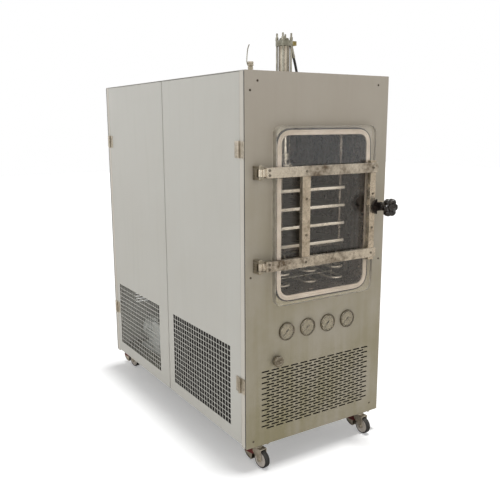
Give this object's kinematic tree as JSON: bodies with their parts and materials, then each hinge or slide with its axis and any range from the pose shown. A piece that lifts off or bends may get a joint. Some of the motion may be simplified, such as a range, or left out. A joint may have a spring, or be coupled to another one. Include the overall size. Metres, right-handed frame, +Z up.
{
  "type": "freeze dryer",
  "caption": "Cabinet freeze dryer on casters, with a clear-doored shelf chamber, a stoppering press, gauges and hinged side doors.",
  "frame": {"origin": "on the floor, under the centre of the whole machine's box", "axes": "+X to the machine's right as seen from its front, +Y from front to back, +Z up"},
  "size_m": [0.7232, 1.55, 1.736],
  "materials": {
    "front_paint": "satin powder coat, warm grey",
    "side_paint": "satin powder coat, light grey",
    "stainless": "worn brushed stainless steel",
    "dark_stainless": "shaded stainless steel",
    "zinc": "zinc-plated or satin chromed metal",
    "brass": "machined brass",
    "silicone": "white silicone rubber",
    "acrylic": "clear acrylic plate",
    "black_plastic": "moulded black plastic",
    "black_rubber": "black rubber",
    "tyre": "black rubber tread",
    "red_plastic": "dark red moulded pedal",
    "pointer": "black pointer",
    "pump_paint": "pale grey enamel",
    "dark_paint": "dark enamel",
    "condenser_fins": "aluminium fins on copper tube"
  },
  "bodies": {
    "cabinet": {"front_panel": "front_paint", "cabinet_frame": "side_paint", "rear_panel": "side_paint", "top_panel": "side_paint", "floor_pan": "side_paint", "power_inlet": "black_plastic", "chamber_shell": "dark_stainless", "door_gasket": "silicone", "cold_trap_coil": "stainless", "shelf_rack": "stainless", "shelf_4": "stainless", "cylinder_base_head": "zinc", "cylinder_tube": "stainless", "cylinder_top_head": "zinc", "port_fitting": "brass", "cylinder_hose": "black_rubber", "hydraulic_unit": "dark_paint", "vent_valve": "zinc", "vent_tube": "zinc", "door_hinge_upper": "dark_stainless", "door_hinge_lower": "dark_stainless", "condenser": "condenser_fins", "compressor": "dark_paint", "vacuum_pump": "pump_paint", "vacuum_pipe": "stainless", "gauge_case_1": "zinc", "gauge_case_2": "zinc", "gauge_case_3": "zinc", "gauge_case_4": "zinc"},
    "chamber_door": {"door_plate": "acrylic", "door_frame": "stainless"},
    "latch_clamp": {"latch_clamp": "black_plastic"},
    "star_knob": {"star_knob": "black_plastic"},
    "press": {"press_plate": "stainless", "press_ram": "stainless"},
    "shelf_1": {"shelf_1": "stainless"},
    "shelf_2": {"shelf_2": "stainless"},
    "shelf_3": {"shelf_3": "stainless"},
    "side_door_left_front": {"side_door_left_front": "side_paint"},
    "side_door_left_rear": {"side_door_left_rear": "side_paint"},
    "side_door_right_front": {"side_door_right_front": "side_paint"},
    "side_door_right_rear": {"side_door_right_rear": "side_paint"},
    "gauge_needle_1": {"gauge_needle_1": "pointer"},
    "gauge_needle_2": {"gauge_needle_2": "pointer"},
    "gauge_needle_3": {"gauge_needle_3": "pointer"},
    "gauge_needle_4": {"gauge_needle_4": "pointer"},
    "valve_knob": {"valve_knob": "zinc"},
    "fan_rotor": {"fan_rotor": "dark_paint"},
    "caster_fork_front_left": {"caster_fork_front_left": "zinc"},
    "caster_wheel_front_left": {"caster_wheel_front_left": "tyre"},
    "brake_pedal_front_left": {"brake_pedal_front_left": "red_plastic"},
    "caster_fork_front_right": {"caster_fork_front_right": "zinc"},
    "caster_wheel_front_right": {"caster_wheel_front_right": "tyre"},
    "brake_pedal_front_right": {"brake_pedal_front_right": "red_plastic"},
    "caster_fork_rear_left": {"caster_fork_rear_left": "zinc"},
    "caster_wheel_rear_left": {"caster_wheel_rear_left": "tyre"},
    "brake_pedal_rear_left": {"brake_pedal_rear_left": "red_plastic"},
    "caster_fork_rear_right": {"caster_fork_rear_right": "zinc"},
    "caster_wheel_rear_right": {"caster_wheel_rear_right": "tyre"},
    "brake_pedal_rear_right": {"brake_pedal_rear_right": "red_plastic"}
  },
  "joints": [
    {"name": "chamber_door_hinge", "type": "hinge", "parent": "cabinet", "child": "chamber_door", "pos_m": [-0.305, -0.6815, 1.02], "axis": [0, 0, -1], "range_deg": [0, 115]},
    {"name": "latch_travel", "type": "slide", "parent": "chamber_door", "child": "latch_clamp", "axis": [0, -1, 0], "range_m": [0, 0.01]},
    {"name": "knob_turn", "type": "hinge", "parent": "latch_clamp", "child": "star_knob", "pos_m": [0.276, -0.7575, 1.036], "axis": [0, -1, 0], "range_deg": [0, 1800]},
    {"name": "press_travel", "type": "slide", "parent": "cabinet", "child": "press", "axis": [0, 0, -1], "range_m": [0, 0.2]},
    {"name": "shelf_1_travel", "type": "slide", "parent": "cabinet", "child": "shelf_1", "axis": [0, 0, -1], "range_m": [0, 0.15]},
    {"name": "shelf_2_travel", "type": "slide", "parent": "cabinet", "child": "shelf_2", "axis": [0, 0, -1], "range_m": [0, 0.1]},
    {"name": "shelf_3_travel", "type": "slide", "parent": "cabinet", "child": "shelf_3", "axis": [0, 0, -1], "range_m": [0, 0.05]},
    {"name": "side_door_left_front_hinge", "type": "hinge", "parent": "cabinet", "child": "side_door_left_front", "pos_m": [-0.357, -0.6115, 0.82], "axis": [0, 0, 1], "range_deg": [0, 120]},
    {"name": "side_door_left_rear_hinge", "type": "hinge", "parent": "cabinet", "child": "side_door_left_rear", "pos_m": [-0.357, 0.7065, 0.82], "axis": [0, 0, -1], "range_deg": [0, 120]},
    {"name": "side_door_right_front_hinge", "type": "hinge", "parent": "cabinet", "child": "side_door_right_front", "pos_m": [0.357, -0.6115, 0.82], "axis": [0, 0, -1], "range_deg": [0, 120]},
    {"name": "side_door_right_rear_hinge", "type": "hinge", "parent": "cabinet", "child": "side_door_right_rear", "pos_m": [0.357, 0.7065, 0.82], "axis": [0, 0, 1], "range_deg": [0, 120]},
    {"name": "gauge_needle_1_turn", "type": "hinge", "parent": "cabinet", "child": "gauge_needle_1", "pos_m": [-0.158, -0.652, 0.56], "axis": [0, 1, 0], "range_deg": [0, 270], "stiffness_Nm_per_rad": 0.001},
    {"name": "gauge_needle_2_turn", "type": "hinge", "parent": "cabinet", "child": "gauge_needle_2", "pos_m": [-0.054, -0.652, 0.56], "axis": [0, 1, 0], "range_deg": [0, 270], "stiffness_Nm_per_rad": 0.001},
    {"name": "gauge_needle_3_turn", "type": "hinge", "parent": "cabinet", "child": "gauge_needle_3", "pos_m": [0.051, -0.652, 0.56], "axis": [0, 1, 0], "range_deg": [0, 270], "stiffness_Nm_per_rad": 0.001},
    {"name": "gauge_needle_4_turn", "type": "hinge", "parent": "cabinet", "child": "gauge_needle_4", "pos_m": [0.156, -0.652, 0.56], "axis": [0, 1, 0], "range_deg": [0, 270], "stiffness_Nm_per_rad": 0.001},
    {"name": "valve_knob_turn", "type": "hinge", "parent": "cabinet", "child": "valve_knob", "pos_m": [-0.208, -0.6675, 0.448], "axis": [0, -1, 0], "range_deg": [0, 270]},
    {"name": "fan_spin", "type": "hinge", "parent": "cabinet", "child": "fan_rotor", "pos_m": [0, -0.5495, 0.29], "axis": [0, 1, 0], "continuous": true},
    {"name": "swivel_front_left", "type": "hinge", "parent": "cabinet", "child": "caster_fork_front_left", "pos_m": [-0.274, -0.6135, 0.08], "axis": [0, 0, 1], "continuous": true},
    {"name": "roll_front_left", "type": "hinge", "parent": "caster_fork_front_left", "child": "caster_wheel_front_left", "pos_m": [-0.2701, -0.64123, 0.036], "axis": [0.9903, 0.1392, 0], "continuous": true},
    {"name": "brake_front_left", "type": "hinge", "parent": "caster_fork_front_left", "child": "brake_pedal_front_left", "pos_m": [-0.27483, -0.60756, 0.067], "axis": [-0.9903, -0.1392, 0], "range_deg": [0, 8]},
    {"name": "swivel_front_right", "type": "hinge", "parent": "cabinet", "child": "caster_fork_front_right", "pos_m": [0.274, -0.6135, 0.08], "axis": [0, 0, 1], "continuous": true},
    {"name": "roll_front_right", "type": "hinge", "parent": "caster_fork_front_right", "child": "caster_wheel_front_right", "pos_m": [0.27595, -0.64143, 0.036], "axis": [0.9976, 0.0698, 0], "continuous": true},
    {"name": "brake_front_right", "type": "hinge", "parent": "caster_fork_front_right", "child": "brake_pedal_front_right", "pos_m": [0.27358, -0.60752, 0.067], "axis": [-0.9976, -0.0698, 0], "range_deg": [0, 8]},
    {"name": "swivel_rear_left", "type": "hinge", "parent": "cabinet", "child": "caster_fork_rear_left", "pos_m": [-0.274, 0.7085, 0.08], "axis": [0, 0, 1], "continuous": true},
    {"name": "roll_rear_left", "type": "hinge", "parent": "caster_fork_rear_left", "child": "caster_wheel_rear_left", "pos_m": [-0.26914, 0.68093, 0.036], "axis": [0.9848, 0.1736, 0], "continuous": true},
    {"name": "brake_rear_left", "type": "hinge", "parent": "caster_fork_rear_left", "child": "brake_pedal_rear_left", "pos_m": [-0.27504, 0.71441, 0.067], "axis": [-0.9848, -0.1736, 0], "range_deg": [0, 8]},
    {"name": "swivel_rear_right", "type": "hinge", "parent": "cabinet", "child": "caster_fork_rear_right", "pos_m": [0.274, 0.7085, 0.08], "axis": [0, 0, 1], "continuous": true},
    {"name": "roll_rear_right", "type": "hinge", "parent": "caster_fork_rear_right", "child": "caster_wheel_rear_right", "pos_m": [0.2938, 0.6887, 0.036], "axis": [0.7071, 0.7071, 0], "continuous": true},
    {"name": "brake_rear_right", "type": "hinge", "parent": "caster_fork_rear_right", "child": "brake_pedal_rear_right", "pos_m": [0.26976, 0.71274, 0.067], "axis": [-0.7071, -0.7071, 0], "range_deg": [0, 8]}
  ],
  "couplings": [
    {"joint": "latch_travel", "follows": "knob_turn", "m_per_rad": 0.00031831},
    {"joint": "shelf_1_travel", "follows": "press_travel", "ratio": 0.75},
    {"joint": "shelf_2_travel", "follows": "press_travel", "ratio": 0.5},
    {"joint": "shelf_3_travel", "follows": "press_travel", "ratio": 0.25}
  ]
}
